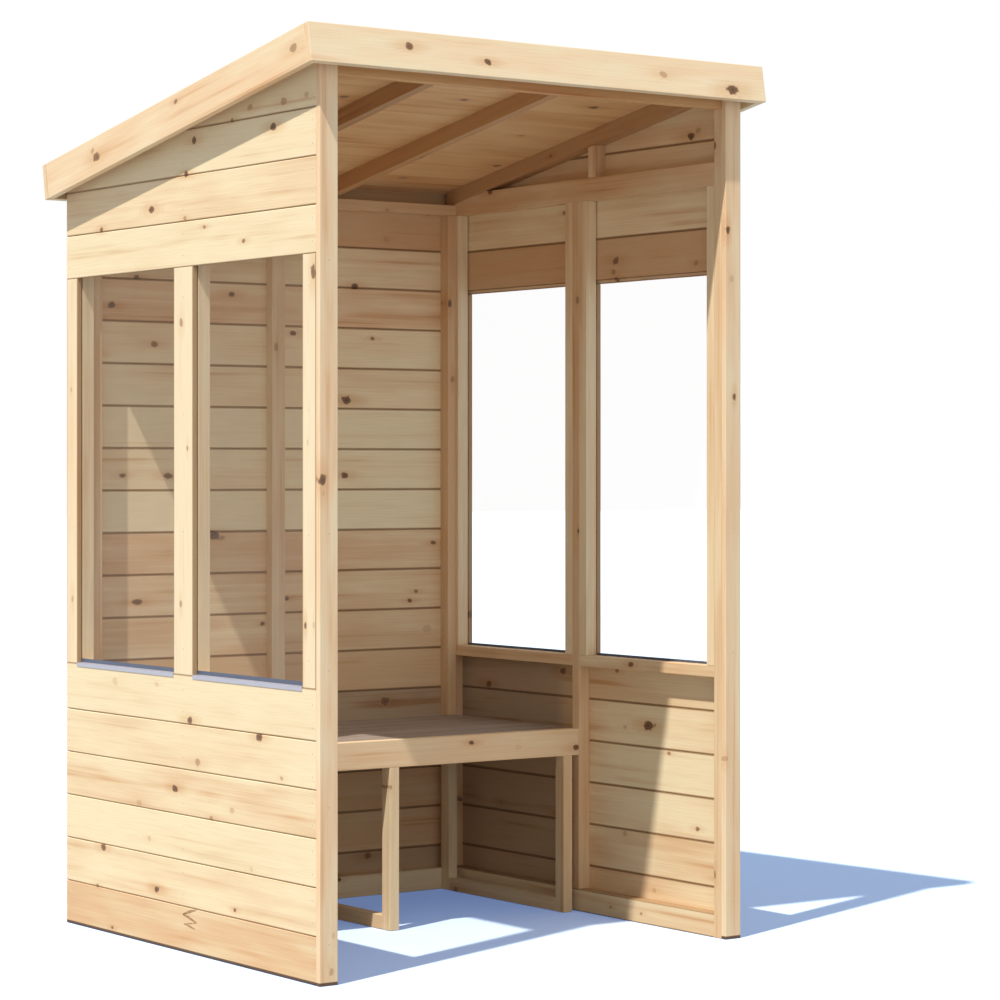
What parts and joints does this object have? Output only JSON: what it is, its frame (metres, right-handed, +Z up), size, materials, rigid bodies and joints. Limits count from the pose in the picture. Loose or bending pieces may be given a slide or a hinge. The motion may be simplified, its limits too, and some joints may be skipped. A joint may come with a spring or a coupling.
{
  "type": "garden arbor",
  "caption": "Open-fronted timber garden shelter with a sloping boarded roof, half-glazed side walls, a boarded back and a built-in bench seat.",
  "frame": {"origin": "on the ground, under the middle of the roof's outline", "axes": "+Z up, the open front towards -Y, the width along X"},
  "size_m": [1.294, 1.261, 2.1047],
  "materials": {
    "cladding_wood": "planed softwood boards, untreated, with knots",
    "frame_wood": "planed softwood framing, untreated",
    "trim_wood": "planed softwood trim boards, untreated, with knots",
    "glazing": "clear glazing sheet",
    "drip_strip": "folded grey coated strip",
    "roof_felt": "mineral-faced roofing felt"
  },
  "bodies": {
    "root": {"left_lower_cladding": "cladding_wood", "left_gable_cladding": "cladding_wood", "left_window_boards": "trim_wood", "left_bottom_rail": "frame_wood", "left_studs": "frame_wood", "left_sill_rails": "frame_wood", "left_window_jambs": "frame_wood", "left_top_rail": "frame_wood", "left_gable_stud": "frame_wood", "left_top_plate": "frame_wood", "left_front_trim": "trim_wood", "left_window_panes": "glazing", "left_drip_strips": "drip_strip", "left_bargeboard": "trim_wood", "right_lower_cladding": "cladding_wood", "right_gable_cladding": "cladding_wood", "right_window_boards": "trim_wood", "right_bottom_rail": "frame_wood", "right_studs": "frame_wood", "right_sill_rails": "frame_wood", "right_window_jambs": "frame_wood", "right_top_rail": "frame_wood", "right_gable_stud": "frame_wood", "right_top_plate": "frame_wood", "right_front_trim": "trim_wood", "right_window_panes": "glazing", "right_drip_strips": "drip_strip", "right_bargeboard": "trim_wood", "back_cladding": "cladding_wood", "back_bottom_rail": "frame_wood", "back_studs": "frame_wood", "back_top_rail": "frame_wood", "front_header": "frame_wood", "front_fascia": "trim_wood", "back_fascia": "trim_wood", "roof_rafters": "frame_wood", "roof_boards": "cladding_wood", "roof_felt": "roof_felt", "bench_seat": "cladding_wood", "bench_apron": "trim_wood", "bench_front_legs": "frame_wood", "bench_foot_rails": "frame_wood", "bench_back_legs": "frame_wood", "bench_bearers": "frame_wood"}
  },
  "joints": []
}
